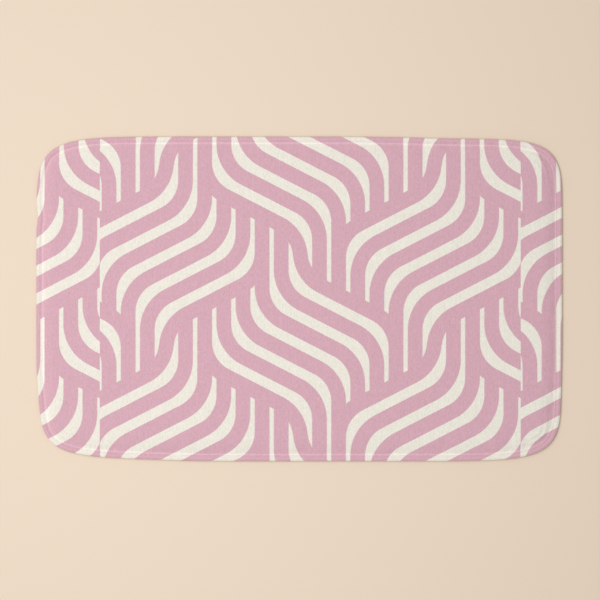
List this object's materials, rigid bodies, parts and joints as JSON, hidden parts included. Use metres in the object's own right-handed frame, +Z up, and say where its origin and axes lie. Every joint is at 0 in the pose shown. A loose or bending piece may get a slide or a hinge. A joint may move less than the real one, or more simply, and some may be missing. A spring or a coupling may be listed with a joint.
{
  "type": "bath mat",
  "caption": "Rectangular memory-foam bath mat with rounded corners, a printed lattice-pattern plush face, a topstitched flat hem and a dotted non-slip backing.",
  "frame": {"origin": "on the floor under the middle of the mat", "axes": "+X along the mat's length, +Y across its width, +Z up through its thickness, with the printed face up"},
  "size_m": [0.864, 0.533, 0.0127],
  "materials": {
    "printed_microfibre": "short-pile plush polyester microfibre, printed in dusty pink and cream, matt with a soft nap sheen",
    "memory_foam": "open-cell polyurethane foam, matt",
    "backing_knit": "plain off-white knitted polyester, matt",
    "grip_rubber": "moulded soft PVC dots, satin, slightly translucent",
    "pink_thread": "twisted polyester sewing thread, slight lustre",
    "label_satin": "woven white satin ribbon, blank"
  },
  "bodies": {
    "root": {"face_cloth": "printed_microfibre", "foam_core": "memory_foam", "backing_cloth": "backing_knit", "grip_dots": "grip_rubber", "care_label": "label_satin", "needle_thread": "pink_thread", "bobbin_thread": "pink_thread", "edge_seam_thread": "pink_thread"}
  },
  "joints": []
}
